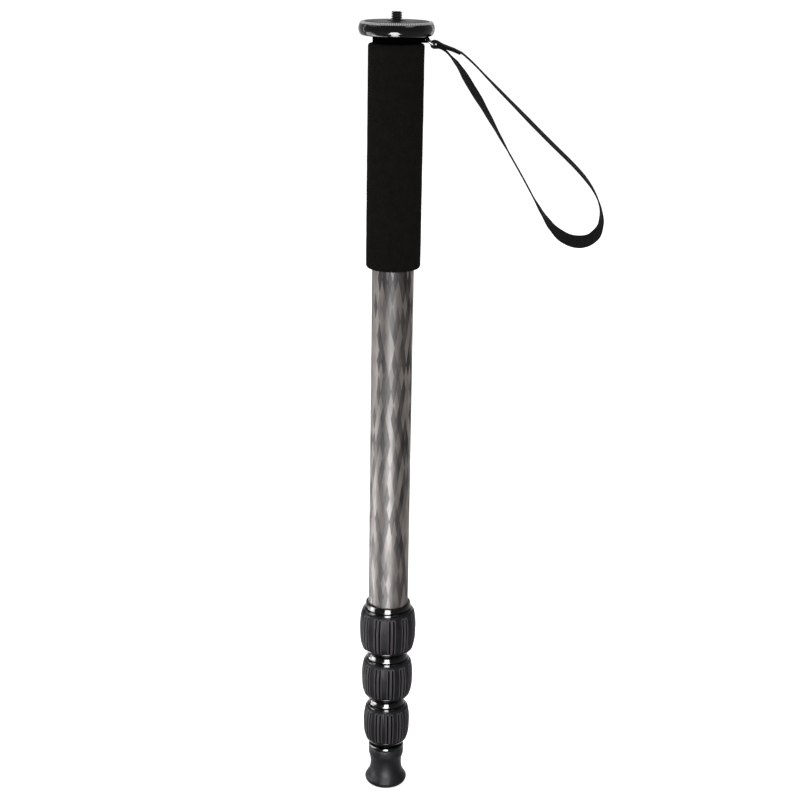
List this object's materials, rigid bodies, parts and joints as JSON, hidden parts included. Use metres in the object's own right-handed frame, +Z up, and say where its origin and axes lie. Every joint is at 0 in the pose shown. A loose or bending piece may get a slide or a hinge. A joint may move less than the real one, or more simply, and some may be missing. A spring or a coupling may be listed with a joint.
{
  "type": "camera monopod",
  "caption": "Collapsed camera monopod of nested carbon tubes with twist locks, a foam grip, a round platform with a camera stud, a rubber foot and a webbing wrist strap.",
  "frame": {"origin": "centre of the rubber foot's sole, on the floor that the monopod stands on", "axes": "+Z up along the tubes towards the camera stud, +X towards the wrist strap, -Y towards the viewer of the picture"},
  "size_m": [0.1446, 0.0438, 0.493],
  "materials": {
    "black_aluminium": "gloss black anodised",
    "steel": "satin steel",
    "black_rubber": "matte moulded rubber",
    "foam": "matte closed-cell foam",
    "carbon_tube": "satin carbon fibre",
    "guide_plastic": "smooth moulded nylon",
    "webbing": "woven nylon webbing"
  },
  "bodies": {
    "upper": {"platform_disc": "black_aluminium", "platform_pad": "black_rubber", "camera_screw": "steel", "top_hub": "black_aluminium", "strap_eye": "black_aluminium", "foam_grip": "foam", "main_tube": "carbon_tube", "lock_1_sleeve": "black_aluminium", "lock_1_clamp": "guide_plastic"},
    "strap": {"strap_link": "steel", "strap_tab": "webbing", "wrist_strap": "webbing"},
    "collar_1": {"lock_1_collar": "black_aluminium", "lock_1_grip": "black_rubber"},
    "section_2": {"tube_2": "carbon_tube", "tube_2_bush": "guide_plastic", "lock_2_sleeve": "black_aluminium", "lock_2_clamp": "guide_plastic"},
    "collar_2": {"lock_2_collar": "black_aluminium", "lock_2_grip": "black_rubber"},
    "section_3": {"tube_3": "carbon_tube", "tube_3_bush": "guide_plastic", "lock_3_sleeve": "black_aluminium", "lock_3_clamp": "guide_plastic"},
    "collar_3": {"lock_3_collar": "black_aluminium", "lock_3_grip": "black_rubber"},
    "section_4": {"tube_4": "carbon_tube", "tube_4_bush": "guide_plastic", "foot_ferrule": "black_aluminium", "foot_stud": "steel", "rubber_foot": "black_rubber"}
  },
  "joints": [
    {"name": "strap_swing", "type": "hinge", "parent": "upper", "child": "strap", "pos_m": [0.0172, 0, 0.47745], "axis": [0, 1, 0], "range_deg": [-20, 30]},
    {"name": "collar_1_turn", "type": "hinge", "parent": "upper", "child": "collar_1", "pos_m": [0, 0, 0.1], "axis": [0, 0, -1], "range_deg": [0, 90]},
    {"name": "section_2_slide", "type": "slide", "parent": "upper", "child": "section_2", "axis": [0, 0, -1], "range_m": [0, 0.329]},
    {"name": "collar_2_turn", "type": "hinge", "parent": "section_2", "child": "collar_2", "pos_m": [0, 0, 0.07], "axis": [0, 0, -1], "range_deg": [0, 90]},
    {"name": "section_3_slide", "type": "slide", "parent": "section_2", "child": "section_3", "axis": [0, 0, -1], "range_m": [0, 0.354]},
    {"name": "collar_3_turn", "type": "hinge", "parent": "section_3", "child": "collar_3", "pos_m": [0, 0, 0.04], "axis": [0, 0, -1], "range_deg": [0, 90]},
    {"name": "section_4_slide", "type": "slide", "parent": "section_3", "child": "section_4", "axis": [0, 0, -1], "range_m": [0, 0.378]}
  ]
}
